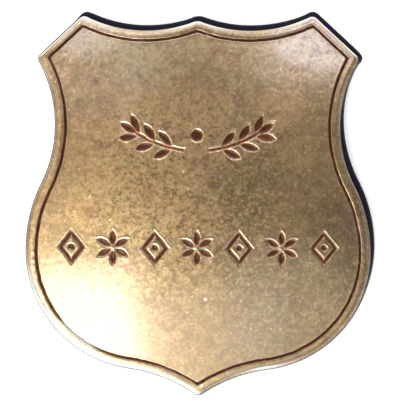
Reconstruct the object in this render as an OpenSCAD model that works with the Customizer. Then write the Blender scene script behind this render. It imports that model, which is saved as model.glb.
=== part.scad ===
// A shield-shaped lapel badge of antiqued brass: a domed plate with a groove
// cut inside its edge and an ornament struck into its face, and the plain
// brooch pin on its hollow back. Millimetres, lying face up on z = 0.

/* [Outline] */
// Greatest width, across the two bulges
badge_w = 60; // [58:0.5:62]
// Height, from the bottom tip to the two top corners
badge_h = 66.5; // [66:0.5:68]
// How far the middle peak of the top edge stays below the top corners
peak_drop = 0.85; // [0.6:0.05:1.2]
// Radius of each of the two hollows in the top edge
top_hollow_r = 23.8; // [22:0.2:26]
// Distance of each top corner from the middle line
top_corner_x = 19.9; // [19.5:0.1:20.5]
// Distance of each side corner from the middle line
side_corner_x = 28; // [27.8:0.1:28.4]
// Drop from the top corners to the side corners
side_corner_drop = 7.5; // [7:0.1:8]
// How far each side draws in at the waist, from the greatest width
waist_in = 5.3; // [5:0.1:5.6]
// Height of the waist above the middle
waist_y = 14.1; // [13.8:0.1:14.6]
// Depth of the greatest width below the middle
bulge_drop = 8; // [7.5:0.1:8.5]
// Radius of the lower half of each bulge
bulge_lower_r = 20.5; // [20:0.1:21]
// Radius of the two hollow curves that meet in the bottom tip
tip_hollow_r = 26; // [24:0.5:30]

/* [Plate] */
// Thickness of the plate
plate_t = 1.8; // [1.4:0.1:2.2]
// Radius of the hollow back, which the face follows
back_r = 160; // [150:5:170]
// Height of the dome's top above the middle of the outline
dome_y = 3; // [2.5:0.1:3.5]

/* [Groove] */
// Width of the rim outside the groove, along the sides and bottom
rim_w = 1.65; // [1.3:0.05:1.8]
// Share of that width that the rim has along the top hollows
top_share = 0.9; // [0.8:0.02:1]
// Share of that width that the rim has along the cut corners
corner_share = 0.7; // [0.7:0.02:1]
// Width of the groove
groove_w = 0.5; // [0.4:0.05:0.6]
// Depth of the groove and of the struck ornament
cut_d = 0.4; // [0.3:0.05:0.5]

/* [Ornament] */
// Height of the upper ornament's dot above the middle
dot_y = 12.6; // [12:0.1:13]
// Diameter of that dot, which stands between two sprays of leaves
dot_d = 2.2; // [1.8:0.1:2.4]
// Radius of the bow that each spray's stem follows
stem_r = 20; // [19:0.5:21]
// Width of a stem
stem_w = 0.6; // [0.5:0.05:0.7]
// Length of a leaf
leaf_l = 3.5; // [3.2:0.1:3.6]
// Width of a leaf
leaf_w = 1.4; // [1.2:0.05:1.5]
// Depth of the lower ornament, a row of figures, below the middle
row_drop = 6.9; // [6.5:0.1:7.5]
// Distance from each figure of the row to the next
figure_step = 7.3; // [7:0.05:7.4]
// Height of each figure
figure_h = 6.2; // [5.6:0.1:6.4]
// Width of each lozenge of the row
lozenge_w = 4.9; // [4.4:0.1:5]
// Width of a lozenge's line
line_w = 0.75; // [0.65:0.05:0.85]
// Diameter of the dot in each lozenge
punch_d = 1.2; // [1:0.05:1.3]
// Width of each petal of the row's flowers
petal_w = 1.15; // [1:0.05:1.2]

/* [Pin] */
// Length of the pin's base strip
base_l = 27; // [24:1:30]
// Width of the base strip
base_w = 4.6; // [4:0.2:5]
// Thickness of the base strip
base_t = 0.6; // [0.5:0.1:0.8]
// Height of the pin above the middle of the outline
pin_y = 7; // [5:0.5:9]
// Diameter of the pin's wire
wire_d = 0.85; // [0.8:0.05:0.9]
// Diameter of the barrel that holds the wire
barrel_d = 2.1; // [1.8:0.1:2.1]

/* [Hidden] */
$fn = 96;

// Angles between two points of an arc, on the outline and on the small leaves
outline_step = 5;
leaf_step = 15;

half_w = badge_w / 2;
half_h = badge_h / 2;
bulge_y = -bulge_drop;

peak = [0, half_h - peak_drop];
top_corner = [top_corner_x, half_h];
side_corner = [side_corner_x, half_h - side_corner_drop];
tip = [0, -half_h];

function unit(v) = v / norm(v);
function heading(v) = atan2(v[1], v[0]);
function along(angle) = [cos(angle), sin(angle)];
function left_of(v) = [-v[1], v[0]];

// Point at distance ra from a and rb from b, on the left of the way from a to b
function apex(a, b, ra, rb) =
    let (gap = norm(b - a), way = (b - a) / gap)
    let (foot = (ra * ra - rb * rb + gap * gap) / (2 * gap))
    a + foot * way + sqrt(ra * ra - foot * foot) * left_of(way);

// Where the line through p in direction way meets a circle: side is 1 or -1
function line_on_circle(p, way, centre, r, side) =
    let (foot = (centre - p) * way, aside = norm(centre - p - foot * way))
    p + (foot + side * sqrt(r * r - aside * aside)) * way;

// Points along the shorter arc about centre from a up to b, without b itself
function arc(centre, a, b, step = outline_step) =
    let (start = heading(a - centre), turn = heading(b - centre) - start)
    let (sweep = (turn + 540) % 360 - 180, steps = ceil(abs(sweep) / step))
    [for (i = [0:steps - 1]) centre + norm(a - centre) * along(start + sweep * i / steps)];

// Centres and radii of the arcs on the right side, from the peak to the tip
top_hollow = apex(peak, top_corner, top_hollow_r, top_hollow_r);
waist_x = half_w - waist_in;
waist_reach = side_corner - [waist_x, waist_y];
waist_r = waist_reach * waist_reach / (2 * waist_reach[0]);
waist_centre = [waist_x + waist_r, waist_y];

// The waist's arc runs smoothly into the bulge's, which sets the bulge's radius
waist_to_bulge = [waist_in, waist_y - bulge_y];
bulge_upper_r = waist_to_bulge * waist_to_bulge / (2 * waist_in) - waist_r;
bulge_upper = [half_w - bulge_upper_r, bulge_y];
bulge_lower = [half_w - bulge_lower_r, bulge_y];
tip_hollow = apex(bulge_lower, tip, bulge_lower_r + tip_hollow_r, tip_hollow_r);

corner_way = unit(side_corner - top_corner);

// The shield's outline, drawn in by inset along the sides and bottom, by
// top_inset along the top hollows and by corner_inset along the cut corners
function outline(inset, top_inset, corner_inset) =
    let (
        corner_at = top_corner - corner_inset * left_of(corner_way),
        top_end = line_on_circle(corner_at, corner_way, top_hollow, top_hollow_r + top_inset, 1),
        side_start = line_on_circle(corner_at, corner_way, waist_centre, waist_r + inset, -1),
        waist_end = waist_centre + (waist_r + inset) * unit(bulge_upper - waist_centre),
        widest = [half_w - inset, bulge_y],
        bulge_end = bulge_lower + (bulge_lower_r - inset) * unit(tip_hollow - bulge_lower),
        middle_top = line_on_circle([0, 0], [0, 1], top_hollow, top_hollow_r + top_inset, -1),
        middle_tip = line_on_circle([0, 0], [0, 1], tip_hollow, tip_hollow_r + inset, 1),
        right = concat(
            arc(top_hollow, middle_top, top_end),
            [top_end],
            arc(waist_centre, side_start, waist_end),
            arc(bulge_upper, waist_end, widest),
            arc(bulge_lower, widest, bulge_end),
            arc(tip_hollow, bulge_end, middle_tip)
        )
    )
    concat(right, [middle_tip], [for (i = [len(right) - 1:-1:1]) [-right[i][0], right[i][1]]]);

// The outline's tip and corners stand on z = 0
corner_reach = half_h + dome_y;
back_top = back_r - sqrt(back_r * back_r - corner_reach * corner_reach);
dome_centre = [0, dome_y, back_top - back_r];
full_h = back_top + plate_t + 1;

// Ball about the dome's centre, for faces that follow the dome. It lies on its
// side, so that neither of its poles is on the plate
module dome_ball(r) {
    translate(dome_centre) rotate([90, 0, 0]) sphere(r, $fn = 256);
}

module groove_ring() {
    difference() {
        polygon(outline(rim_w, top_share * rim_w, corner_share * rim_w));
        polygon(outline(
            rim_w + groove_w,
            top_share * rim_w + groove_w,
            corner_share * rim_w + groove_w
        ));
    }
}

// Pointed leaf from the origin along +X, between two arcs
module leaf(l, w) {
    r = (l * l + w * w) / (4 * w);
    base = [0, 0];
    end = [l, 0];
    polygon(concat(
        arc([l / 2, w / 2 - r], base, end, leaf_step),
        arc([l / 2, r - w / 2], end, base, leaf_step)
    ));
}

// Spray to the right of the dot: a bowed stem with a leaf at its end and
// leaves in pairs along it
stem_from = -84;
stem_to = -57.5;
stem_drop = 2.6;
leaf_tilt = 37;
leaf_pairs = 3;
leaf_gap = 0.45;
last_pair_at = 0.88;
module spray() {
    centre = [0, stem_r - stem_drop];
    turn = (stem_to - stem_from) / 6;
    polygon(concat(
        [for (i = [0:6]) centre + (stem_r + stem_w / 2) * along(stem_from + i * turn)],
        [for (i = [0:6]) centre + (stem_r - stem_w / 2) * along(stem_to - i * turn)]
    ));
    translate(centre + stem_r * along(stem_to)) rotate(stem_to + 90) translate([-leaf_gap, 0])
        leaf(leaf_l, leaf_w);
    for (i = [0:leaf_pairs - 1]) {
        at = stem_from + (stem_to - stem_from) * (last_pair_at - i / leaf_pairs);
        for (tilt = [leaf_tilt, -leaf_tilt])
            translate(centre + stem_r * along(at)) rotate(at + 90 + tilt) translate([leaf_gap, 0])
                leaf(leaf_l, leaf_w);
    }
}

module diamond(w, h) {
    polygon([[w / 2, 0], [0, h / 2], [-w / 2, 0], [0, -h / 2]]);
}

// Lozenge drawn in a line, with a dot in it
module lozenge() {
    shrink = 1 - 2 * line_w * norm([lozenge_w, figure_h]) / (lozenge_w * figure_h);
    difference() {
        diamond(lozenge_w, figure_h);
        diamond(lozenge_w * shrink, figure_h * shrink);
    }
    circle(d = punch_d, $fn = 24);
}

// Flower of six petals that stop short of its middle
petal_gap = 0.35;
module flower() {
    for (a = [30:60:330]) rotate(a) translate([petal_gap, 0]) leaf(figure_h / 2 - petal_gap, petal_w);
}

figures = 7;
module ornament() {
    translate([0, dot_y]) {
        circle(d = dot_d, $fn = 24);
        spray();
        mirror([1, 0]) spray();
    }
    for (i = [0:figures - 1]) translate([(i - (figures - 1) / 2) * figure_step, -row_drop]) {
        if (i % 2 == 0) lozenge();
        else flower();
    }
}

module shield() {
    color([0.68, 0.55, 0.37]) difference() {
        intersection() {
            linear_extrude(full_h) polygon(outline(0, 0, 0));
            dome_ball(back_r + plate_t);
        }
        dome_ball(back_r);
        difference() {
            linear_extrude(full_h) {
                groove_ring();
                ornament();
            }
            dome_ball(back_r + plate_t - cut_d);
        }
    }
}

// The pin lies along X, and its strip keeps this gap to the plate
pin_gap = 0.06;
wire_z = barrel_d / 2 + 0.2;
wire_over = 1.2;
point_l = 1.8;
point_d = 0.3;
barrel_l = 3.6;
barrel_x = base_l / 2 - 2;
catch_l = 2.4;
catch_wall = 0.45;
catch_hole_d = wire_d + 0.2;
catch_x = 2.2 - base_l / 2;
strip_corner = 0.9;

// Upright block at x, between the pin's height and the strip
module lug(x, l, w) {
    translate([x - l / 2, pin_y - w / 2, wire_z]) cube([l, w, full_h]);
}

// Rod along X from x towards -X
module rod(x, l, d) {
    translate([x, pin_y, wire_z]) rotate([0, -90, 0]) cylinder(h = l, d = d);
}

module strip_blank() {
    half_l = base_l / 2;
    side = base_w / 2;
    corner = [half_l - strip_corner, side - strip_corner];
    translate([0, pin_y]) linear_extrude(full_h) polygon([
        [half_l, -corner[1]],
        [half_l, corner[1]],
        [corner[0], side],
        [-corner[0], side],
        [-half_l, corner[1]],
        [-half_l, -corner[1]],
        [-corner[0], -side],
        [corner[0], -side]
    ]);
}

module wire() {
    reach = barrel_x - catch_x + catch_l / 2 + wire_over;
    translate([barrel_x, pin_y, wire_z]) rotate([0, -90, 0]) rotate_extrude() polygon([
        [0, 0],
        [wire_d / 2, 0],
        [wire_d / 2, reach - point_l],
        [point_d / 2, reach],
        [0, reach]
    ]);
}

// Hook round the wire, open towards the badge's tip
module catch() {
    difference() {
        union() {
            rod(catch_x + catch_l / 2, catch_l, catch_hole_d + 2 * catch_wall);
            lug(catch_x, catch_l, catch_hole_d);
        }
        rod(catch_x + catch_l, 2 * catch_l, catch_hole_d);
        translate([catch_x - catch_l, pin_y - 2 * catch_hole_d, wire_z - wire_d / 2])
            cube([2 * catch_l, 2 * catch_hole_d, wire_d]);
    }
}

module pin_clasp() {
    color([0.72, 0.71, 0.69]) intersection() {
        union() {
            difference() {
                strip_blank();
                dome_ball(back_r - pin_gap - base_t);
            }
            lug(barrel_x, 0.8 * barrel_d, 0.8 * barrel_l);
            translate([barrel_x, pin_y + barrel_l / 2, wire_z]) rotate([90, 0, 0])
                cylinder(h = barrel_l, d = barrel_d);
            catch();
            wire();
        }
        dome_ball(back_r - pin_gap);
    }
}

shield();
pin_clasp();
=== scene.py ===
import bpy
import numpy as np
from mathutils import Matrix, Vector


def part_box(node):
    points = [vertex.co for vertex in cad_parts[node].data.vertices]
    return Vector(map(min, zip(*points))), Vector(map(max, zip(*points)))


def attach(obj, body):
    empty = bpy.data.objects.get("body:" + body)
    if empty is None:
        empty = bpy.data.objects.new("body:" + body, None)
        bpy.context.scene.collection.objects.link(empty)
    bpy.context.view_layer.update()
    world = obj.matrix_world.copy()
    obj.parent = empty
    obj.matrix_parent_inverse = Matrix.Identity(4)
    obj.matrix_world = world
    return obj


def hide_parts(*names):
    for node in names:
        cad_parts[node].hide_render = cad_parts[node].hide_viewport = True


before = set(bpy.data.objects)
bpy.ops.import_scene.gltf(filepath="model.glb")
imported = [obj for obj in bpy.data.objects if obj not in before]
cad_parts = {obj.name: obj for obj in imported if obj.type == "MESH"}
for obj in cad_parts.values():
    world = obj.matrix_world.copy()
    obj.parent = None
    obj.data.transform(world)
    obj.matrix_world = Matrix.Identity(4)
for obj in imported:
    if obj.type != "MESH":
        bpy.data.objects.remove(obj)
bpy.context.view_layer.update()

# The shield is one piece of brass, struck in a die that domes it, cuts the groove
# and the ornament into its face and leaves its back hollow. It is then blackened
# all over and rubbed back, so the dark stays in what is struck and on the sides,
# where the black also stands in for painted shadow.

# Sizes are in millimetres, and a place on the face is a complex number, x + yi
MM = 0.001
shield_low, shield_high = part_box("shield")
half_w = (shield_high.x - shield_low.x) / 2 / MM
half_h = (shield_high.y - shield_low.y) / 2 / MM

peak_drop = 0.85
top_hollow_r = 23.8
top_corner = 19.9 + 1j * half_h
side_corner = 28 + 1j * (half_h - 7.5)
waist = half_w - 5.3 + 14.1j
widest = half_w - 8j
bulge_lower_r = 20.5
tip_hollow_r = 26
peak = 1j * (half_h - peak_drop)
tip = -1j * half_h

plate_t = 1.8
back_r = 160
dome_y = 3
cut_d = 0.4

rim_w = 1.65
top_share = 0.9
corner_share = 0.7
groove_w = 0.5


def apex(a, b, ra, rb):
    """The corner of a triangle on the base a to b, with sides ra and rb, left of the base.
    The law of cosines gives its height's foot on the base, and ra and the foot the height."""
    gap = abs(b - a)
    foot = (ra**2 - rb**2 + gap**2) / (2 * gap)
    return a + (b - a) / gap * (foot + 1j * np.sqrt(ra**2 - foot**2))


def line_on_circle(p, way, centre, r, side):
    """Where the line through p crosses the circle: the centre's foot on the line, moved
    along it by half the chord, forwards where side is 1 and backwards where it is -1."""
    foot = (centre - p) * np.conj(way)
    return p + way * (foot.real + side * np.sqrt(r**2 - foot.imag**2))


crowding = 0.7


def shares(count):
    """Shares from 0 up to 1 that lie closer together near both ends, where the corners
    are: even shares, less the crowding's part of a sine wave with a slope of 1."""
    even = np.arange(count) / count
    return even - crowding * np.sin(2 * np.pi * even) / (2 * np.pi)


def arc(centre, a, b, count):
    """Points from a towards b about centre: a's radius, turned by shares of the angle."""
    turn = np.angle((b - centre) / (a - centre))
    return centre + (a - centre) * np.exp(1j * turn * shares(count))


top_hollow = apex(peak, top_corner, top_hollow_r, top_hollow_r)
waist_reach = side_corner - waist
waist_r = abs(waist_reach) ** 2 / (2 * waist_reach.real)
waist_centre = waist + waist_r
waist_to_bulge = waist - widest
bulge_upper_r = abs(waist_to_bulge) ** 2 / (2 * (half_w - waist.real)) - waist_r
bulge_upper = widest - bulge_upper_r
bulge_lower = widest - bulge_lower_r
tip_hollow = apex(bulge_lower, tip, bulge_lower_r + tip_hollow_r, tip_hollow_r)
corner_way = (side_corner - top_corner) / abs(side_corner - top_corner)

# Points on the top hollow, the cut corner, the waist, the bulge's two halves and
# the hollow beside the tip. Each is a multiple of four, so the back can be coarser
piece_points = (64, 32, 40, 24, 80, 44)
to_top_corner = piece_points[0]
to_side_corner = to_top_corner + piece_points[1]
half_points = sum(piece_points)
ring_points = 2 * half_points
corners = [
    0, to_top_corner, to_side_corner,
    half_points, ring_points - to_side_corner, ring_points - to_top_corner,
]

# How far from each corner the rounding reaches, at the edge and in from the rim
edge_round = 0.85
inner_round = 0.3


def rounded(ring, reach):
    """The ring with rounded corners: within reach of a corner, measured along the ring,
    its points move to the parabola that leaves and joins the ring along its two sides."""
    along = np.concatenate([[0], np.cumsum(abs(np.diff(ring, append=ring[0])))])
    total = along[-1]
    along = along[:-1]
    result = ring.copy()
    for corner in corners:
        off = (along - along[corner] + total / 2) % total - total / 2
        near = abs(off) < reach
        share = (off[near] + reach) / (2 * reach)
        before, after = np.interp(along[corner] + np.array([-reach, reach]), along, ring, period=total)
        result[near] = (
            (1 - share) ** 2 * before + 2 * share * (1 - share) * ring[corner] + share**2 * after
        )
    return result


def outline(inset):
    """The shield's outline drawn in by inset, as complex numbers, clockwise from the peak.
    Arcs keep their centres and meet where they cross, and the rim is narrower at the top."""
    within = min(max(inset, 0), rim_w)
    top_r = top_hollow_r + inset - (1 - top_share) * within
    corner_at = top_corner - 1j * corner_way * (inset - (1 - corner_share) * within)
    top_end = line_on_circle(corner_at, corner_way, top_hollow, top_r, 1)
    side_start = line_on_circle(corner_at, corner_way, waist_centre, waist_r + inset, -1)
    middle_top = line_on_circle(0, 1j, top_hollow, top_r, -1)
    middle_tip = line_on_circle(0, 1j, tip_hollow, tip_hollow_r + inset, 1)
    to_bulge = (bulge_upper - waist_centre) / abs(bulge_upper - waist_centre)
    waist_end = waist_centre + (waist_r + inset) * to_bulge
    to_tip = (tip_hollow - bulge_lower) / abs(tip_hollow - bulge_lower)
    bulge_end = bulge_lower + (bulge_lower_r - inset) * to_tip
    right = np.concatenate([
        arc(top_hollow, middle_top, top_end, piece_points[0]),
        top_end + (side_start - top_end) * shares(piece_points[1]),
        arc(waist_centre, side_start, waist_end, piece_points[2]),
        arc(bulge_upper, waist_end, widest - inset, piece_points[3]),
        arc(bulge_lower, widest - inset, bulge_end, piece_points[4]),
        arc(tip_hollow, bulge_end, middle_tip, piece_points[5]),
    ])
    ring = np.concatenate([right, [middle_tip], -np.conj(right[:0:-1])])
    inward = np.clip(inset / rim_w, 0, 1)
    return rounded(ring, edge_round + (inner_round - edge_round) * inward)


dome_centre_z = -np.sqrt(back_r**2 - (half_h + dome_y) ** 2)


def dome_height(p, above_back):
    """Height of the ball about the dome's centre whose radius is above_back more than the back's."""
    return dome_centre_z + np.sqrt((back_r + above_back) ** 2 - abs(p - 1j * dome_y) ** 2)


# The struck ornament: a dot between two sprays of leaves, over a row of seven figures
dot_y = 12.6
dot_d = 2.2
stem_r = 20
stem_w = 0.6
stem_from = np.radians(-84)
stem_to = np.radians(-57.5)
stem_drop = 2.6
leaf_l = 3.5
leaf_w = 1.4
leaf_tilt = np.radians(37)
leaf_pairs = 3
leaf_gap = 0.45
last_pair_at = 0.88
row_y = -6.9
figures_beside = 3
figure_step = 7.3
figure_h = 6.2
lozenge_w = 4.9
line_w = 0.75
punch_d = 1.2
petal_w = 1.15
petal_gap = 0.35


def leaf_distance(p, length, width):
    """Distance from a pointed leaf that runs from 0 along +X: the leaf is folded over its
    middle line, and the distance is that from the one arc left, about a point below."""
    r = (length**2 + width**2) / (4 * width)
    folded = p.real + 1j * abs(p.imag)
    return abs(folded - length / 2 - 1j * (width / 2 - r)) - r


def spray_distance(p):
    """Distance from the right spray: the least of those from its bowed stem and its leaves,
    each turned about the bow's centre to where it leaves the stem."""
    bow = p - 1j * (stem_r - stem_drop)
    past_end = abs(np.angle(bow) - (stem_from + stem_to) / 2) - (stem_to - stem_from) / 2
    nearest = np.maximum(abs(abs(bow) - stem_r) - stem_w / 2, past_end * stem_r)
    places = [(stem_to, 0, -leaf_gap)]
    for i in range(leaf_pairs):
        at = stem_from + (stem_to - stem_from) * (last_pair_at - i / leaf_pairs)
        places += [(at, leaf_tilt, leaf_gap), (at, -leaf_tilt, leaf_gap)]
    for at, tilt, gap in places:
        local = (bow * np.exp(-1j * at) - stem_r) * np.exp(-1j * (np.pi / 2 + tilt)) - gap
        nearest = np.minimum(nearest, leaf_distance(local, leaf_l, leaf_w))
    return nearest


def lozenge_distance(p):
    """Distance from a lozenge drawn in a line, with a dot in it. That from a side is the sum
    of p's shares of both half diagonals, less 1, times the side's distance from the middle."""
    a, b = lozenge_w / 2, figure_h / 2
    outer = (abs(p.real) / a + abs(p.imag) / b - 1) * a * b / np.hypot(a, b)
    return np.minimum(np.maximum(outer, -outer - line_w), abs(p) - punch_d / 2)


def flower_distance(p):
    """Distance from a flower of six petals: the plane is folded into one petal's sixth."""
    sixth = np.pi / 3
    turn = np.mod(np.angle(p), sixth) - sixth / 2
    return leaf_distance(abs(p) * np.exp(1j * turn) - petal_gap, figure_h / 2 - petal_gap, petal_w)


def ornament_distance(p):
    """Distance from all that is struck inside the groove, negative within it: the least of
    those from the dot, the mirrored spray and the nearest figure of the row."""
    upper = p - 1j * dot_y
    nearest = np.minimum(abs(upper) - dot_d / 2, spray_distance(abs(upper.real) + 1j * upper.imag))
    place = np.clip(np.round(p.real / figure_step), -figures_beside, figures_beside)
    figure = p - place * figure_step - 1j * row_y
    row = np.where(place % 2 == 1, lozenge_distance(figure), flower_distance(figure))
    return np.minimum(nearest, row)


# A struck wall starts a little outside the mark's line and turns in with a rounded
# edge, and the punch raises a lip beside it, highest above a mark, where a pale highlight is painted on it
struck_wall = 0.56
wall_out = 0.15
wall_edge_out = 0.10
wall_edge_rubbed = 0.10
lip_h = 0.006
lip_h_above = 0.030
lip_out = 0.26
lip_w = 0.12
lip_w_above = 0.17
lip_rubbed = 1.5
line_sway = 0.02
slope_step = 0.05

luck = np.random.default_rng(11)


def part_way(value, low, high):
    """How far the value has come from low to high, kept within 0 and 1."""
    return np.clip((value - low) / (high - low), 0, 1)


def eased(value, low, high):
    """The part of the way from low to high, which starts and ends level: three times its
    square less twice its cube."""
    part = part_way(value, low, high)
    return part**2 * (3 - 2 * part)


def bell(off, reach):
    """A bell curve: e to the minus square of off over reach, so 1 where off is 0."""
    return np.exp(-((off / reach) ** 2))


def waviness(x, y, shortest, longest, count):
    """Smooth unevenness: a sum of waves of chance length, heading and phase, about 1 high."""
    total = 0
    for _ in range(count):
        length = luck.uniform(shortest, longest)
        heading, phase = luck.uniform(0, 2 * np.pi, 2)
        total = total + np.sin(2 * np.pi / length * (x * np.cos(heading) + y * np.sin(heading)) + phase)
    return total / np.sqrt(count / 2)


# The middle of the face is a grid of columns and rows. It narrows towards the top
# with the shield, and its rows are close together only where the ornament is
columns = 416
rows = 152
field_top = 17.2
field_bottom = -11.2
field_low_w = 25.0
field_high_w = 15.4
narrow_from = -3.4
narrow_to = 8.0
row_reach = figure_h / 2 + 0.4
spray_reach = 4.1
closer = 6
closer_fade = 0.2

heights = np.linspace(field_bottom, field_top, 2000)
in_row = 1 / (1 + np.exp((abs(heights - row_y) - row_reach) / closer_fade))
in_spray = 1 / (1 + np.exp((abs(heights - dot_y) - spray_reach) / closer_fade))
closeness = np.cumsum(1 + closer * (in_row + in_spray))
closeness = (closeness - closeness[0]) / (closeness[-1] - closeness[0])
row_heights = np.interp(np.linspace(1, 0, rows + 1), closeness, heights)
narrowing = eased(row_heights, narrow_from, narrow_to)
row_half_w = field_low_w + (field_high_w - field_low_w) * narrowing
field = row_half_w[:, None] * np.linspace(-1, 1, columns + 1) + 1j * row_heights[:, None]

bent = field + line_sway * waviness(field.real, field.imag, 1.5, 4, 8) * (1 + 1j)
distance = ornament_distance(bent)
field_recess = eased(wall_out - distance, 0, struck_wall)
rise = ornament_distance(bent + 1j * slope_step) - ornament_distance(bent - 1j * slope_step)
upwards = np.clip(rise / (2 * slope_step), 0, 1) ** 2
field_lip = bell(distance - lip_out, lip_w + (lip_w_above - lip_w) * upwards)
field_lip = field_lip * (lip_h + (lip_h_above - lip_h) * upwards)
field_rubbed = wall_edge_rubbed * bell(distance - wall_edge_out, lip_w)
field_rubbed = field_rubbed + lip_rubbed * upwards * bell(distance - lip_out, lip_w_above)

# The border is a profile carried along the outline. Each row is a distance in from
# the edge, a height over the back, how pale the brass is painted there, from 1 for
# bright to 2 for pale, which is partly rubbed wear and partly painted highlight on the
# groove's lips and the rounded outer edge, and how much patina is left: the field, the
# groove with its lips, the crowned rim, its rounded outer edge, the side and the back
groove_mid = rim_w + groove_w / 2
side_foot = 0.22
profile = np.array([
    (groove_mid + 1.10, plate_t, 0, 0),
    (groove_mid + 0.70, plate_t, 0, 0),
    (groove_mid + 0.48, plate_t + 0.006, 0.1, 0),
    (groove_mid + 0.36, plate_t + 0.018, 0.35, 0),
    (groove_mid + 0.28, plate_t + 0.012, 0.5, 0),
    (groove_mid + 0.21, plate_t - 0.05, 0.4, 0.1),
    (groove_mid + 0.15, plate_t - 0.19, 0.1, 0.5),
    (groove_mid + 0.07, plate_t - 0.33, 0, 1),
    (groove_mid - 0.07, plate_t - 0.33, 0, 1),
    (groove_mid - 0.16, plate_t - 0.19, 0, 0.9),
    (groove_mid - 0.22, plate_t - 0.05, 0, 0.6),
    (groove_mid - 0.28, plate_t + 0.01, 0, 0.38),
    (groove_mid - 0.38, plate_t + 0.035, 0, 0.18),
    (groove_mid - 0.60, plate_t + 0.065, 0.1, 0),
    (groove_mid - 0.90, plate_t + 0.080, 0.1, 0),
    (groove_mid - 1.15, plate_t + 0.070, 0.3, 0),
    (0.58, plate_t + 0.045, 0.6, 0),
    (0.44, plate_t + 0.005, 1, 0),
    (0.31, plate_t - 0.055, 1.6, 0),
    (0.20, plate_t - 0.13, 2, 0),
    (0.11, plate_t - 0.23, 2, 0),
    (0.05, plate_t - 0.35, 1.2, 0),
    (0.01, plate_t - 0.48, 0, 0),
    (-0.03, plate_t - 0.62, 0, 0),
    (-0.50, plate_t / 2, 0, 0),
    (-1.00, side_foot, 0, 0),
    (-0.95, 0.10, 0, 0),
    (-0.80, 0.02, 0, 0),
    (0.30, 0, 0, 0),
])

# The groove sways a little from side to side, its depth is uneven, and a few short flaws
# partly fill it
sway = 0.014
depth_unevenness = 0.10
flaws = 9
flaw_points = 1.1


def outline_waviness(slowest, fastest, count):
    """Unevenness along the outline: a sum of waves that fit whole times into its length."""
    along = np.linspace(0, 2 * np.pi, ring_points, endpoint=False)
    total = 0
    for _ in range(count):
        times = luck.integers(slowest, fastest)
        total = total + np.sin(times * along + luck.uniform(0, 2 * np.pi))
    return total / np.sqrt(count / 2)


groove_sway = sway * outline_waviness(15, 110, 14)
groove_depth = 1 + depth_unevenness * outline_waviness(30, 140, 10)
for at in luck.choice(ring_points, flaws, replace=False):
    off = (np.arange(ring_points) - at + half_points) % ring_points - half_points
    groove_depth = groove_depth * (1 - luck.uniform(0.3, 0.75) * bell(off, flaw_points))


def evened_out(values, ring, reach, count=2048):
    """The values averaged along the ring, those near by the most and those beyond reach not
    at all: they are laid out at even steps and folded with a triangle through a transform."""
    along = np.concatenate([[0], np.cumsum(abs(np.diff(ring, append=ring[0])))])
    steps = np.arange(count)
    even = along[-1] * steps / count
    weight = np.clip(1 - along[-1] * np.minimum(steps, count - steps) / count / reach, 0, 1)
    level = np.fft.rfft(np.interp(even, along[:-1], values, period=along[-1]))
    folded = np.fft.irfft(level * np.fft.rfft(weight / weight.sum()))
    return np.interp(along[:-1], even, folded, period=along[-1])


def closed_loop(grid):
    """The edge of a grid, clockwise from the middle of its first row."""
    middle = grid.shape[1] // 2
    return np.concatenate([
        grid[0, middle:-1], grid[:-1, -1], grid[-1, :0:-1], grid[:0:-1, 0], grid[0, :middle],
    ])


# Everything is gathered as grids and rings: the field, rings from its edge to the
# groove, the profile's rings, rings under the back that close in, and the back's grid
loft_rings = 12
back_rings = 5
back_every = 8
face_wave_h = 0.006
gathered = {name: [] for name in ("place", "above", "recess", "rubbed", "black", "back")}


def add_points(place, **values):
    """Gather one grid or ring of points with their values, and return the points' numbers."""
    first = sum(part.size for part in gathered["place"])
    for name, parts in gathered.items():
        value = place if name == "place" else values.get(name, 0.0)
        parts.append(np.broadcast_to(value, place.shape).ravel())
    return np.arange(first, first + place.size).reshape(place.shape)


field_above = plate_t - cut_d * field_recess + field_lip
field_numbers = add_points(field, above=field_above, recess=field_recess, rubbed=field_rubbed)
loops = [closed_loop(field_numbers)]

field_edge = closed_loop(field)[::2]
border_start = outline(profile[0, 0])
for step in np.arange(1, loft_rings + 1) / (loft_rings + 1):
    loops.append(add_points(field_edge * (1 - step) + border_start * step, above=plate_t))

way_step = 0.05
edge = outline(0)
edge_way = (outline(way_step) - edge) / way_step
outward = np.angle(1j * (np.roll(edge, -1) - np.roll(edge, 1)))


def facing(heading):
    """How far the edge faces the heading, in degrees from +X to +Y: the angle's cosine."""
    return np.cos(outward - np.radians(heading))


def turned_to(heading, spread):
    """1 where the edge faces the heading, less as a bell curve over the spread of degrees."""
    return bell(np.angle(np.exp(1j * (outward - np.radians(heading)))), np.radians(spread))


# The trimming die tore the side outwards, most where it faces upper right. A profile
# row further out than lean_rows is that share of the lean in millimetres
lean_rows = -0.1
lean_faces = 60
least_lean = 0.22
most_lean = 0.95
lean_spread = 2.4

# The lean widens the black side most where it stands in for shadow at the upper right
leaning = evened_out(eased(facing(lean_faces), 0.15, 0.90), edge, lean_spread)
lean = least_lean + (most_lean - least_lean) * leaning

# The side is black from just under the face, both as blackening and as painted shadow
# along the top and right. The black is fullest at the upper right, and it starts higher up at
# the right and at the lower left
black_from = plate_t - 0.22
black_to = plate_t - 0.36
black_w = 0.4
black_higher = 0.20
black_right = -25
black_least = 0.8

to_lower_left = part_way(-facing(lean_faces), 0, 0.3)
to_right = part_way(facing(black_right), 0, 1) ** 2
black_start = black_from + black_higher * (to_lower_left + to_right)
black_and_shadow_share = black_least + (1 - black_least) * part_way(facing(lean_faces), 0.03, 0.37)

# The rim's outer part is painted palest as a highlight along the top and the bottom, near
# the corners and at the right waist, and not at the lower right, where the brass keeps its colour
rubbed_w = 1.0
rubbed_most = 2.0
corner_reach = 5.5
waist_from_y = 8

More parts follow.
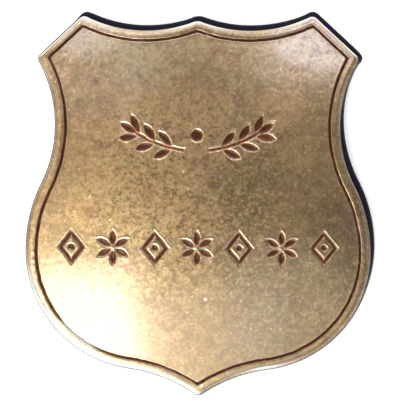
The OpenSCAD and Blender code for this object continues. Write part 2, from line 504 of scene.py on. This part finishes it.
up_or_down = np.clip(1.35 * abs(np.sin(outward)) - 0.2, 0, 1)
by_corner = np.clip(sum(bell(abs(edge - edge[i]), corner_reach) for i in corners), 0, 1)
right_waist = turned_to(-14, 17) * (edge.imag > waist_from_y)
lower_right = turned_to(-42, 30)
edge_highlight = np.maximum(up_or_down * (0.38 + 0.72 * by_corner), 0.6 * right_waist)
edge_highlight = edge_highlight * (1 - 0.95 * lower_right)

# Along the bottom the rim is worn to a slope, and a pale highlight is painted there and up the lower left
worn_faces = 246
worn_slope_w = 0.95
worn_slope_d = 0.30
below_highlight_w = 0.60
worn_side_h = 0.9
highlight_faces = 234
highlight_to_y = -7

worn_and_lit_below = evened_out(eased(facing(worn_faces), 0.55, 0.95), edge, lean_spread)
highlight_below = eased(facing(highlight_faces), 0.45, 0.85) * (edge.imag < highlight_to_y)
highlight_below = np.maximum(evened_out(highlight_below, edge, lean_spread), worn_and_lit_below)

# The groove is shallow where it faces the lower left. There its patina is painted narrower,
# and about one place it is painted as a pale grey line, as glare from the highlight
groove_reach = 0.8
groove_glare_w = 0.3
groove_floor_w = 0.18
groove_glare_at = -21.5 - 23.5j
groove_glare_reach = 7
groove_bare_rubbed = 1.6
shallow_faces = 228
shallow_spread = 26
shallow_by = 0.5

groove_wear_and_glare = turned_to(shallow_faces, shallow_spread)
groove_glare = part_way(bell(abs(edge - groove_glare_at), groove_glare_reach), 0.35, 0.80)
groove_glare_grey = part_way(groove_glare, 0, 0.5) * (0.74 - 0.22 * groove_glare)

# The rings of the border. Below back_from over the back, they take on the back's finish
back_from = 0.12
back_full = 0.02
for inset, height, rubbed, patina in profile:
    ring = outline(inset)
    from_groove = abs(inset - groove_mid)
    if inset < lean_rows:
        ring = edge + lean * inset * edge_way
    if from_groove < groove_reach:
        inward = (outline(inset + way_step) - ring) / way_step
        ring = ring + inward * groove_sway
        height = plate_t + (height - plate_t) * groove_depth * (1 - shallow_by * groove_wear_and_glare)
        # Towards the lower left the patina thins, and about one place it gives way to a pale grey line:
        # painted glare
        patina = patina ** (1 + 2 * groove_wear_and_glare) * (1 - groove_glare)
        rubbed = rubbed + groove_bare_rubbed * groove_glare * (from_groove < groove_glare_w)
    black = part_way(height, black_start, black_to) * black_and_shadow_share * (inset < black_w)
    black = black + groove_glare_grey * (from_groove < groove_floor_w)
    if inset < rubbed_w:
        outer = part_way(inset, worn_slope_w, below_highlight_w) * (inset > 0)
        rubbed = np.maximum(rubbed * edge_highlight, rubbed_most * outer * highlight_below)
        down = part_way(inset, worn_slope_w, 0) ** 2 * part_way(height, side_foot, side_foot + worn_side_h)
        height = height - worn_slope_d * down * worn_and_lit_below
    back = part_way(height, back_from, back_full)
    loops.append(add_points(ring, above=height, recess=patina, rubbed=rubbed, black=black, back=back))

back_field = field[::back_every, ::back_every]
back_edge = closed_loop(back_field)
back_start = outline(profile[-1, 0])
for i, step in enumerate(np.arange(1, back_rings + 1) / (back_rings + 1)):
    every = 2 if i == 0 else 4
    back_loop = np.repeat(back_edge, 4 // every)
    if every == 2:
        back_loop = (back_loop + np.roll(back_loop, -1)) / 2
    loops.append(add_points(back_start[::every] * (1 - step) + back_loop * step, back=1.0))
back_numbers = add_points(back_field, back=1.0)
loops.append(closed_loop(back_numbers))

shield_values = {name: np.concatenate(parts) for name, parts in gathered.items()}
places = shield_values.pop("place")
above = shield_values.pop("above")
on_face = shield_values["back"] < 0.5
above = above + face_wave_h * waviness(places.real, places.imag, 9, 22, 10) * on_face
lying = np.maximum(dome_height(places, above), 0)
shield_points = np.stack([places.real, places.imag, lying], axis=1)


def quads(numbers):
    """The four-sided faces of a grid of point numbers whose rows run downwards."""
    return np.stack([numbers[1:, :-1], numbers[1:, 1:], numbers[:-1, 1:], numbers[:-1, :-1]], -1)


def stitch(a, b):
    """Faces between two closed rings, the second with as many points or half as many."""
    if a.size == b.size:
        return np.stack([a, np.roll(a, -1), np.roll(b, -1), b], -1).tolist()
    first, second, third = a[::2], a[1::2], np.roll(a[::2], -1)
    after = np.roll(b, -1)
    return np.concatenate([
        np.stack([first, second, b], -1),
        np.stack([second, after, b], -1),
        np.stack([second, third, after], -1),
    ]).tolist()


shield_faces = quads(field_numbers).reshape(-1, 4).tolist()
for a, b in zip(loops[:-1], loops[1:]):
    shield_faces += stitch(a, b)
shield_faces += quads(back_numbers)[..., ::-1].reshape(-1, 4).tolist()


def make_piece(name, points, faces, material, values=None):
    """A smooth mesh object at the origin from points in millimetres, with named point values."""
    mesh = bpy.data.meshes.new(name)
    mesh.from_pydata((points * MM).tolist(), [], faces)
    mesh.shade_smooth()
    for value_name, numbers in (values or {}).items():
        layer = mesh.attributes.new(value_name, "FLOAT", "POINT")
        layer.data.foreach_set("value", np.ascontiguousarray(numbers, dtype=np.float32))
    mesh.materials.append(material)
    piece = bpy.data.objects.new(name, mesh)
    bpy.context.scene.collection.objects.link(piece)
    return piece


def new_material(name):
    """An empty node material, with its tree, its shader and its object coordinates."""
    material = bpy.data.materials.new(name)
    material.use_nodes = True
    tree = material.node_tree
    shader = tree.nodes["Principled BSDF"]
    place = tree.nodes.new("ShaderNodeTexCoord").outputs["Object"]
    return material, tree, shader, place


def fill(tree, socket, value):
    """Link a socket to the given output, or set it where the value is plain."""
    if isinstance(value, bpy.types.NodeSocket):
        tree.links.new(value, socket)
    else:
        socket.default_value = value


def noise(tree, place, size_mm, detail=3, roughness=0.5, distortion=0):
    """Cloudy pattern whose clouds are about size_mm across."""
    node = tree.nodes.new("ShaderNodeTexNoise")
    fill(tree, node.inputs["Vector"], place)
    fill(tree, node.inputs["Scale"], 1 / (size_mm * MM))
    fill(tree, node.inputs["Detail"], detail)
    fill(tree, node.inputs["Roughness"], roughness)
    fill(tree, node.inputs["Distortion"], distortion)
    return node.outputs["Fac"]


def band(tree, value, low_in, high_in, low_out=0.0, high_out=1.0):
    """The value stretched so that low_in to high_in becomes low_out to high_out, and kept within."""
    node = tree.nodes.new("ShaderNodeMapRange")
    node.interpolation_type = "SMOOTHSTEP"
    fill(tree, node.inputs["Value"], value)
    ends = {"From Min": low_in, "From Max": high_in, "To Min": low_out, "To Max": high_out}
    for socket, number in ends.items():
        fill(tree, node.inputs[socket], number)
    return node.outputs["Result"]


def blend(tree, amount, a, b):
    """Colour a, or b as far as the amount says. A plain colour is three numbers."""
    node = tree.nodes.new("ShaderNodeMix")
    node.data_type = "RGBA"
    fill(tree, node.inputs["Factor"], amount)
    for socket, colour in ((6, a), (7, b)):
        fill(tree, node.inputs[socket], colour if isinstance(colour, bpy.types.NodeSocket) else (*colour, 1))
    return node.outputs[2]


def calc(tree, how, a, b):
    """One step of arithmetic on two values."""
    node = tree.nodes.new("ShaderNodeMath")
    node.operation = how
    fill(tree, node.inputs[0], a)
    fill(tree, node.inputs[1], b)
    return node.outputs["Value"]


def point_value(tree, name):
    """A named value that the mesh holds at its points."""
    node = tree.nodes.new("ShaderNodeAttribute")
    node.attribute_name = name
    return node.outputs["Fac"]


def flecks(tree, place, apart_mm, r_mm, share):
    """1 in small round specks, one in each of a share of the cells of a scattered grid."""
    node = tree.nodes.new("ShaderNodeTexVoronoi")
    fill(tree, node.inputs["Vector"], place)
    fill(tree, node.inputs["Scale"], 1 / (apart_mm * MM))
    cell = tree.nodes.new("ShaderNodeSeparateColor")
    fill(tree, cell.inputs[0], node.outputs["Color"])
    speck = band(tree, node.outputs["Distance"], r_mm / apart_mm, 0.4 * r_mm / apart_mm)
    return calc(tree, "MULTIPLY", speck, band(tree, cell.outputs[0], 1 - share, 1.1 - share))


def away(tree, place, x, y):
    """Distance in millimetres from the place x, y on the face."""
    node = tree.nodes.new("ShaderNodeVectorMath")
    node.operation = "DISTANCE"
    fill(tree, node.inputs[0], place)
    fill(tree, node.inputs[1], (x * MM, y * MM, dome_height(x + 1j * y, plate_t) * MM))
    return calc(tree, "DIVIDE", node.outputs["Value"], MM)


# Marks on the face: where each lies, its reach, its colour and how strong it is. The dark
# and reddish ones are stains, and the pale ones are painted glints
stains_and_glints = [
    (-17.6, 21.9, 0.8, (0.060, 0.036, 0.022), 0.85),
    (-20.6, 18.4, 0.5, (0.090, 0.054, 0.026), 0.6),
    (-9.9, 22.8, 0.7, (0.090, 0.060, 0.030), 0.6),
    (11.3, 24.9, 0.5, (0.210, 0.095, 0.085), 0.9),
    (-9.6, 11.1, 0.3, (0.050, 0.026, 0.014), 0.8),
    (-13.7, 6.8, 0.6, (0.120, 0.045, 0.022), 0.8),
    (-15.1, 2.6, 0.4, (0.130, 0.060, 0.026), 0.7),
    # The pale marks from here on are painted glints
    (-2.3, 6.4, 0.3, (0.820, 0.640, 0.450), 0.9),
    (-1.4, 3.5, 0.28, (0.820, 0.640, 0.450), 0.9),
    (2.8, 1.9, 0.25, (0.800, 0.600, 0.420), 0.9),
    (-18.6, 1.9, 0.3, (0.850, 0.690, 0.470), 0.9),
    (-15.1, -2.1, 0.3, (0.850, 0.690, 0.470), 0.9),
    (1.5, -15.8, 0.35, (0.850, 0.720, 0.500), 0.9),
    (9.0, -13.2, 0.25, (0.850, 0.690, 0.470), 0.8),
]


# Larger patches that brighten or dull the face, partly uneven wear and partly painted
# light and shade: where each lies, its distance where it is gone and where it is full, its
# colour and how strong it is. Clouds draw both distances in
bright_lit_brass = (0.410, 0.249, 0.113)
dull_shaded_brass = (0.182, 0.108, 0.048)
dark_shaded_brass = (0.120, 0.072, 0.032)
greyed_brass = (0.318, 0.238, 0.150)
reddish_brass = (0.196, 0.104, 0.048)
pinkish_brass = (0.250, 0.148, 0.092)
reflection_pale_brass = (0.430, 0.350, 0.300)
patch_raggedness = 5
light_and_wear_patches = [
    (-5.5, 6.5, 21, 11, bright_lit_brass, 1),
    (-19, 0, 9, 4, bright_lit_brass, 0.7),
    (2.5, 17.5, 7, 4, bright_lit_brass, 0.5),
    (14, 16.5, 8, 4, bright_lit_brass, 0.6),
    (17, 9.5, 7, 4, bright_lit_brass, 0.4),
    (-9, 27.5, 12, 6, greyed_brass, 0.7),
    (5, 27, 12, 6, greyed_brass, 0.3),
    (22.5, -20, 10, 5, bright_lit_brass, 0.4),
    (-1, -12, 10, 5, bright_lit_brass, 0.3),
    (26, -3.5, 15, 6, dull_shaded_brass, 1),
    (28, -2, 8, 4, dark_shaded_brass, 0.5),
    (6, 4, 11, 4, dull_shaded_brass, 0.6),
    (12.5, -17, 13, 5, reddish_brass, 0.65),
    (-7, -22, 11.5, 5, pinkish_brass, 0.6),
    (25.5, -10.5, 6.5, 3, dull_shaded_brass, 0.6),
]
# The two pale upper corners are painted reflections
reflection_raggedness = 3
corner_reflections = [
    (-20, 32.5, 9.5, 6.5, reflection_pale_brass, 0.6),
    (20.5, 33, 12.2, 9.2, reflection_pale_brass, 0.7),
]
mottled_about = (-2, 3)
smooth_about = (0, -30)


def antique_brass():
    """Blackened brass rubbed back to a speckled gold, with red-brown patina in what is struck,
    and painted highlights, glints, reflections and shadow.
    """
    material, tree, shader, place = new_material("antique_brass")
    recess = point_value(tree, "recess")
    rubbed = point_value(tree, "rubbed")
    black = point_value(tree, "black")
    back = point_value(tree, "back")

    # Cloudy patterns from coarse to fine, and two kinds of small round specks: dark dots
    # and painted glints
    clouds = noise(tree, place, 8, detail=3)
    hues = noise(tree, place, 3.2, detail=4, roughness=0.6)
    blotches = noise(tree, place, 1.7, detail=5, roughness=0.68)
    grain = noise(tree, place, 0.62, detail=4, roughness=0.66)
    fine = noise(tree, place, 0.24, detail=2, roughness=0.6)
    dots = flecks(tree, place, 0.75, 0.24, 0.35)
    painted_glints = flecks(tree, place, 0.85, 0.22, 0.22)

    # The mottling is strong over the middle, and is rubbed weaker towards the edge and
    # weakest near the tip
    from_middle = calc(tree, "ADD", away(tree, place, *mottled_about), calc(tree, "MULTIPLY", blotches, 12))
    near_tip = band(tree, away(tree, place, *smooth_about), 12, 28, 0.68, 1)
    mottled = calc(tree, "MULTIPLY", band(tree, from_middle, 15, 29, 0.95, 0.46), near_tip)
    blotched = calc(tree, "MULTIPLY", band(tree, from_middle, 15, 29, 0.95, 0.60), near_tip)

    def layer(under, pattern, low, high, amount, over, share=mottled):
        """The colour over laid on the one under, where the pattern runs from low to high."""
        shown = calc(tree, "MULTIPLY", band(tree, pattern, low, high, 0, amount), share)
        return blend(tree, shown, under, over)

    # The brass under its larger patches of wear, of painted light and shade and of painted
    # reflections, then red and olive tones, dark and pale blotches and grain, and the dark specks and
    # painted glints
    colour = blend(tree, band(tree, clouds, 0.35, 0.65), (0.227, 0.139, 0.062), (0.264, 0.164, 0.078))
    for patches, raggedness in ((light_and_wear_patches, patch_raggedness), (corner_reflections, reflection_raggedness)):
        for x, y, outer, inner, patch_colour, amount in patches:
            near = calc(tree, "ADD", away(tree, place, x, y), calc(tree, "MULTIPLY", hues, raggedness))
            colour = blend(tree, band(tree, near, outer, inner, 0, amount), colour, patch_colour)
    colour = layer(colour, hues, 0.54, 0.66, 0.75, (0.250, 0.120, 0.068), blotched)
    colour = layer(colour, hues, 0.46, 0.33, 0.75, (0.200, 0.160, 0.045), blotched)
    colour = layer(colour, blotches, 0.47, 0.70, 0.9, (0.095, 0.056, 0.024), blotched)
    colour = layer(colour, blotches, 0.49, 0.30, 0.85, (0.420, 0.290, 0.150), blotched)
    colour = layer(colour, grain, 0.45, 0.72, 0.95, (0.070, 0.040, 0.018))
    colour = layer(colour, grain, 0.51, 0.28, 0.95, (0.540, 0.385, 0.205))
    colour = layer(colour, fine, 0.60, 0.74, 0.6, (0.640, 0.480, 0.290))
    colour = layer(colour, fine, 0.40, 0.28, 0.6, (0.050, 0.028, 0.014))
    colour = blend(tree, calc(tree, "MULTIPLY", dots, 0.18), colour, (0.055, 0.030, 0.020))
    # Pale specks of painted glint
    colour = blend(tree, calc(tree, "MULTIPLY", painted_glints, 0.5), colour, (0.720, 0.560, 0.370))

    # The small stains and painted glints, the dark back, the pale of rubbed wear and painted
    # highlights, and the patina and black that are left, the black partly painted shadow
    ragged = calc(tree, "MULTIPLY", calc(tree, "ADD", fine, grain), 2.6)
    for x, y, r, mark_colour, strength in stains_and_glints:
        near = calc(tree, "ADD", calc(tree, "DIVIDE", away(tree, place, x, y), r), ragged)
        colour = blend(tree, band(tree, near, 3.6, 2.7, 0, strength), colour, mark_colour)
    colour = blend(tree, calc(tree, "MULTIPLY", back, 0.75), colour, (0.075, 0.050, 0.030))
    # Pale where the brass is rubbed, and where highlights and glare are painted
    colour = blend(tree, band(tree, rubbed, 0.1, 1, 0, 0.7), colour, (0.400, 0.290, 0.190))
    colour = blend(tree, band(tree, rubbed, 0.9, 1.8, 0, 0.85), colour, (0.610, 0.570, 0.540))
    patina = blend(tree, band(tree, recess, 0.5, 0.9), (0.260, 0.090, 0.030), (0.062, 0.020, 0.008))
    patina = blend(tree, band(tree, grain, 0.46, 0.66, 0, 0.7), patina, (0.026, 0.008, 0.005))
    patina = blend(tree, band(tree, hues, 0.52, 0.70, 0, 0.6), patina, (0.120, 0.038, 0.016))
    colour = blend(tree, band(tree, recess, 0.18, 0.50), colour, patina)
    # The black of the side, partly painted shadow, and the grey of the painted glare in the groove
    colour = blend(tree, band(tree, black, 0.1, 0.8), colour, (0.0040, 0.0030, 0.0090))
    fill(tree, shader.inputs["Base Color"], colour)

    # Bare brass has a thin clear coat. Patina and black have less of it and are rougher,
    # and where the brass is rubbed, and where highlights are painted pale, it is smoother
    covered = calc(tree, "MAXIMUM", black, band(tree, recess, 0.2, 0.6, 0, 0.25))
    fill(tree, shader.inputs["Metallic"], calc(tree, "SUBTRACT", 1, covered))
    shader.inputs["Specular IOR Level"].default_value = 0.03
    bare = calc(tree, "SUBTRACT", 1, calc(tree, "MAXIMUM", covered, band(tree, recess, 0.3, 0.6, 0, 0.75)))
    fill(tree, shader.inputs["Coat Weight"], calc(tree, "MULTIPLY", bare, 0.8))
    shader.inputs["Coat Roughness"].default_value = 0.16
    shader.inputs["Coat IOR"].default_value = 1.7
    rough = band(tree, grain, 0.3, 0.7, 0.28, 0.38)
    rough = calc(tree, "ADD", rough, calc(tree, "MULTIPLY", covered, 0.2))
    rough = calc(tree, "ADD", rough, calc(tree, "MULTIPLY", back, 0.08))
    smoother = calc(tree, "MULTIPLY", calc(tree, "MINIMUM", rubbed, 1), 0.12)
    fill(tree, shader.inputs["Roughness"], calc(tree, "SUBTRACT", rough, smoother))

    bump = tree.nodes.new("ShaderNodeBump")
    bump.inputs["Strength"].default_value = 0.7
    bump.inputs["Distance"].default_value = 0.022 * MM
    fill(tree, bump.inputs["Height"], calc(tree, "ADD", grain, calc(tree, "MULTIPLY", blotches, 1.5)))
    fill(tree, shader.inputs["Normal"], bump.outputs["Normal"])
    return material


shield = make_piece("shield_struck", shield_points, shield_faces, antique_brass(), shield_values)
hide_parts("shield")
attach(shield, "root")

# The brooch pin on the hollow back is nickel-plated steel: a strip bent to the dome
# and soldered to it, with a rolled barrel, a sharpened wire and a hook for its point
strip_half_l = 13.5
strip_half_w = 2.3
strip_t = 0.6
strip_corner = 0.9
strip_bevel = 0.12
strip_below_back = 0.36
pin_y = 7
wire_r = 0.425
wire_z = 1.25
wire_bevel = 0.1
point_r = 0.15
point_l = 1.8
point_at = -13.7
barrel_at = 11.5
barrel_half_l = 1.8
barrel_r = 1.05
barrel_bevel = 0.2
barrel_foot = (0.84, 1.44)
hook_at = -11.3
hook_half_l = 1.2
hook_r = 0.75
hook_wall = 0.45
hook_bevel = 0.1
hook_foot = (1.2, 0.525)
hook_half_turn = np.radians(142)

# Round sections take the cosine and the sine of a full turn, squared ones their cube roots
turn = np.linspace(0, 2 * np.pi, 40, endpoint=False)
squared = np.cbrt(np.cos(turn)), np.cbrt(np.sin(turn))


def bevelled(half_l, bevel, inner):
    """Places from -half_l to half_l, and how far the section is drawn in at each: nothing
    between the ends, and at an end the height of a quarter circle with the bevel's radius."""
    quarter = np.linspace(0, np.pi / 2, 5)
    end = half_l - bevel * (1 - np.sin(quarter))
    drawn = bevel * (1 - np.cos(quarter))
    middle = np.linspace(-end[0], end[0], inner)[1:-1]
    places = np.concatenate([-end[::-1], middle, end])
    return places[:, None], np.concatenate([drawn[::-1], 0 * middle, drawn])[:, None]


def shell(x, y, z):
    """Points and faces of a closed skin over rows of section points, each end closed about
    its middle. All faces are turned over where the volume that they hold is negative."""
    grid = np.stack(np.broadcast_arrays(x, y, z), axis=-1)
    rows, count = grid.shape[:2]
    points = np.concatenate([grid.reshape(-1, 3), grid[:1].mean(axis=1), grid[-1:].mean(axis=1)])
    here = np.arange(rows * count).reshape(rows, count)
    after = np.roll(here, -1, axis=1)
    sides = np.stack([here[:-1], after[:-1], after[1:], here[1:]], -1).reshape(-1, 4)
    middles = np.full(count, rows * count)
    first_end = np.stack([after[0], here[0], middles], -1)
    last_end = np.stack([here[-1], after[-1], middles + 1], -1)
    centred = points - points.mean(axis=0)
    p, q, r, t = (centred[sides[:, i]] for i in range(4))
    held = np.sum(p * np.cross(q, r)) + np.sum(p * np.cross(r, t))
    way = 1 if held > 0 else -1
    return points, [face[:, ::way] for face in (sides, first_end, last_end)]


def foot(x, sizes, low):
    """A squared post that stands in the strip and reaches down to low."""
    high = dome_height(x + 1j * pin_y, -strip_below_back)
    z = np.linspace(low, high, 6)[:, None]
    return shell(x + sizes[0] * squared[0], pin_y + sizes[1] * squared[1], z)


along, drawn = bevelled(strip_half_l, strip_bevel, 40)
strip_w = np.minimum(strip_half_w, strip_half_w - strip_corner + strip_half_l - abs(along)) - drawn
strip_y = pin_y + strip_w * squared[0]
strip_depth = (strip_t / 2 - drawn) * squared[1] - strip_below_back
strip = shell(along, strip_y, dome_height(along + 1j * strip_y, strip_depth))

along, drawn = bevelled(barrel_half_l, barrel_bevel, 12)
barrel_x = barrel_at + (barrel_r - drawn) * np.cos(turn)
barrel = shell(barrel_x, pin_y + along, wire_z + (barrel_r - drawn) * np.sin(turn))

along, drawn = bevelled((barrel_at - point_at) / 2, wire_bevel, 90)
along = along + (barrel_at + point_at) / 2
sharpened = np.clip((point_at + point_l - along) / point_l, 0, 1)
wire_along_r = wire_r + (point_r - wire_r) * sharpened - drawn
wire = shell(along, pin_y + wire_along_r * np.cos(turn), wire_z + wire_along_r * np.sin(turn))

along, drawn = bevelled(hook_r * hook_half_turn, hook_bevel, 30)
hook_out = hook_r + (hook_wall / 2 - drawn) * squared[0]
hook_x = hook_at + (hook_half_l - drawn) * squared[1]
hook = shell(hook_x, pin_y + hook_out * np.cos(along / hook_r), wire_z + hook_out * np.sin(along / hook_r))

pin_points = np.zeros((0, 3))
pin_faces = []
for points, faces in (
    strip, barrel, wire, hook,
    foot(barrel_at, barrel_foot, wire_z), foot(hook_at, hook_foot, wire_z + hook_r),
):
    for kind in faces:
        pin_faces += (kind + len(pin_points)).tolist()
    pin_points = np.concatenate([pin_points, points])


def plated_steel():
    """Dull nickel plate with draw lines along the pin, small scuffs and grime in patches."""
    material, tree, shader, place = new_material("plated_steel")
    drawn_out = tree.nodes.new("ShaderNodeVectorMath")
    drawn_out.operation = "MULTIPLY"
    fill(tree, drawn_out.inputs[0], place)
    fill(tree, drawn_out.inputs[1], (0.06, 1, 1))
    lines = noise(tree, drawn_out.outputs["Vector"], 0.16, detail=3, roughness=0.6)
    wear = noise(tree, place, 0.9, detail=4, roughness=0.6)
    grime = noise(tree, place, 2.6, detail=4, roughness=0.6)
    colour = blend(tree, band(tree, lines, 0.35, 0.65), (0.50, 0.49, 0.46), (0.60, 0.59, 0.565))
    colour = blend(tree, band(tree, wear, 0.52, 0.72, 0, 0.6), colour, (0.36, 0.335, 0.29))
    colour = blend(tree, band(tree, grime, 0.56, 0.70, 0, 0.7), colour, (0.17, 0.14, 0.10))
    fill(tree, shader.inputs["Base Color"], colour)
    shader.inputs["Metallic"].default_value = 1
    rough = band(tree, wear, 0.3, 0.7, 0.26, 0.42)
    fill(tree, shader.inputs["Roughness"], calc(tree, "ADD", rough, band(tree, grime, 0.56, 0.70, 0, 0.15)))
    bump = tree.nodes.new("ShaderNodeBump")
    bump.inputs["Strength"].default_value = 0.6
    bump.inputs["Distance"].default_value = 0.008 * MM
    fill(tree, bump.inputs["Height"], calc(tree, "ADD", lines, wear))
    fill(tree, shader.inputs["Normal"], bump.outputs["Normal"])
    return material


pin = make_piece("pin_plated", pin_points, pin_faces, plated_steel())
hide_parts("pin_clasp")
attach(pin, "root")

# The badge lies on a sheet of plain white paper. The paper glows faintly, so that the
# badge's shadow on it stays weak
floor_reach = 1.2
paper_glow = 0.16
floor_corners = [(x * floor_reach, y * floor_reach, 0) for x, y in ((-1, -1), (1, -1), (1, 1), (-1, 1))]
floor_mesh = bpy.data.meshes.new("floor")
floor_mesh.from_pydata(floor_corners, [], [(0, 1, 2, 3)])
floor = bpy.data.objects.new("floor", floor_mesh)
bpy.context.scene.collection.objects.link(floor)
paper, paper_tree, paper_shader, paper_place = new_material("white_paper")
paper_grain = noise(paper_tree, paper_place, 0.4, detail=3, roughness=0.6)
paper_shade = band(paper_tree, paper_grain, 0.3, 0.7)
paper_colour = blend(paper_tree, paper_shade, (0.94, 0.94, 0.94), (0.97, 0.97, 0.97))
fill(paper_tree, paper_shader.inputs["Base Color"], paper_colour)
paper_shader.inputs["Roughness"].default_value = 0.9
paper_shader.inputs["Emission Color"].default_value = (1, 1, 1, 1)
paper_shader.inputs["Emission Strength"].default_value = paper_glow
paper_bump = paper_tree.nodes.new("ShaderNodeBump")
paper_bump.inputs["Strength"].default_value = 0.3
paper_bump.inputs["Distance"].default_value = 0.01 * MM
fill(paper_tree, paper_bump.inputs["Height"], paper_grain)
fill(paper_tree, paper_shader.inputs["Normal"], paper_bump.outputs["Normal"])
floor_mesh.materials.append(paper)


def direction(tilt, heading):
    """Unit vector tilt degrees off straight up, towards heading degrees from +X to +Y."""
    tilt, heading = np.radians(tilt), np.radians(heading)
    return Vector((np.sin(tilt) * np.cos(heading), np.sin(tilt) * np.sin(heading), np.cos(tilt)))


def looking_along(away_from_badge):
    """The turn of a lamp or camera that looks back at the badge, with +Y upwards in its picture."""
    right = Vector((0, 1, 0)).cross(away_from_badge).normalized()
    up = away_from_badge.cross(right)
    return Matrix([[right[i], up[i], away_from_badge[i]] for i in range(3)]).to_euler()


# The dome mirrors one lamp as the highlight at the lower left and weaker ones as soft
# glows, and the lower lamps light the edges. All are square panels that face the badge.
# Each has its tilt and heading in degrees, its watts, its width in metres and its colour
lamp_distance = 0.7
lamps = {
    "key": (35, 229, 2.22, 0.24, (0.93, 1.00, 0.92)),
    "corner_glow": (26, 56, 0.60, 0.215, (0.84, 0.86, 0.94)),
    "upper_glow": (33, 140, 0.46, 0.35, (0.82, 0.87, 0.90)),
    "lower_glow": (24, 297, 0.14, 0.20, (0.90, 1.00, 0.92)),
    "left": (42, 185, 0.97, 0.45, (0.95, 0.82, 0.62)),
    "low": (33, 262, 0.62, 0.35, (0.86, 0.97, 1.00)),
    "edge_top": (45, 110, 1.6, 0.5, (0.90, 0.96, 1.00)),
    "edge": (52, 60, 0.4, 0.3, (0.90, 1.00, 1.15)),
    "edge_right": (50, -8, 0.23, 0.25, (1.00, 0.92, 0.84)),
    "edge_low": (66, 246, 3.0, 0.5, (0.90, 0.96, 1.00)),
}
for name, (tilt, heading, watts, width, colour) in lamps.items():
    panel = bpy.data.lights.new(name, "AREA")
    panel.energy = watts
    panel.size = width
    panel.color = colour
    lamp = bpy.data.objects.new(name, panel)
    lamp.location = direction(tilt, heading) * lamp_distance
    lamp.rotation_euler = looking_along(direction(tilt, heading))
    bpy.context.scene.collection.objects.link(lamp)

# The sky is dim overhead and brightest low down beyond the badge's top and bottom. To
# the left it is brighter than to the right
world = bpy.data.worlds.new("world")
world.use_nodes = True
sky_tree = world.node_tree
sky_way = sky_tree.nodes.new("ShaderNodeSeparateXYZ")
fill(sky_tree, sky_way.inputs[0], sky_tree.nodes.new("ShaderNodeTexCoord").outputs["Generated"])
along_y = calc(sky_tree, "MULTIPLY", sky_way.outputs["Y"], sky_way.outputs["Y"])
beside = blend(sky_tree, band(sky_tree, sky_way.outputs["X"], -0.5, 0.5), (1.0, 1.0, 1.0), (0.6, 0.65, 0.72))
around = blend(sky_tree, band(sky_tree, along_y, 0.06, 0.34), beside, (1.8, 1.87, 1.95))
sky = blend(sky_tree, band(sky_tree, sky_way.outputs["Z"], 0.30, 0.85), around, (0.400, 0.380, 0.350))
fill(sky_tree, sky_tree.nodes["Background"].inputs["Color"], sky)
sky_tree.nodes["Background"].inputs["Strength"].default_value = 1.0
bpy.context.scene.world = world
bpy.context.scene.view_settings.view_transform = "Standard"

# The camera looks almost straight down on the face, from a little to its upper right
photo_mm_per_px = 0.1731
photo_px = 400
look_at = Vector((0.41, 1.28, 3.0)) * MM
camera_tilt = 6
camera_heading = 54
camera_distance = 0.6
sensor_w = 36
camera_data = bpy.data.cameras.new("camera")
camera = bpy.data.objects.new("camera", camera_data)
bpy.context.scene.collection.objects.link(camera)
toward_camera = direction(camera_tilt, camera_heading)
camera.location = look_at + toward_camera * camera_distance
camera.rotation_euler = looking_along(toward_camera)
camera_data.sensor_width = sensor_w
camera_data.lens = sensor_w * camera_distance / (photo_mm_per_px * photo_px * MM)
bpy.context.scene.camera = camera
